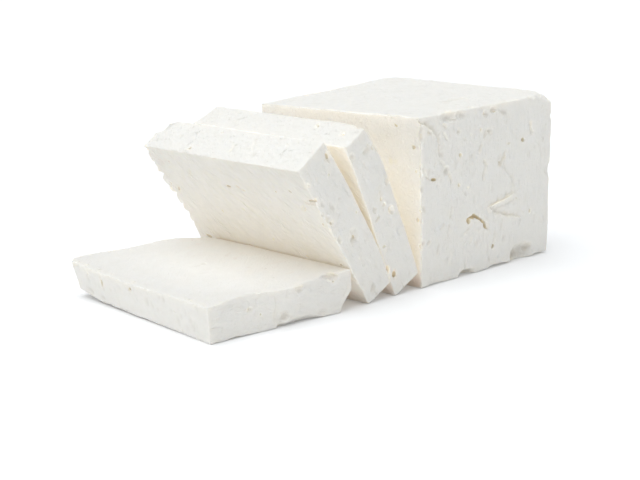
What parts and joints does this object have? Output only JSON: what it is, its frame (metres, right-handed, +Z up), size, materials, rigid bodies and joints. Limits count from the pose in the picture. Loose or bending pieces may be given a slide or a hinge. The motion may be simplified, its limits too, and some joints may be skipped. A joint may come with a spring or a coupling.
{
  "type": "part sliced block of feta cheese",
  "caption": "Block of white brined cheese whose cut slices have tipped over beside it in a row, with crumbly pitted sides.",
  "frame": {"origin": "on the floor, below the middle of the box that holds the whole row of cheese", "axes": "+X along the row, from the flat slice to the block; +Y across the row, away from the near side; +Z up"},
  "size_m": [0.2284, 0.117, 0.0855],
  "materials": {
    "feta": "matt, moist white curd, faintly warm"
  },
  "bodies": {
    "root": {"feta_block": "feta", "feta_slice_inner": "feta", "feta_slice_outer": "feta", "feta_slice_flat": "feta"}
  },
  "joints": []
}
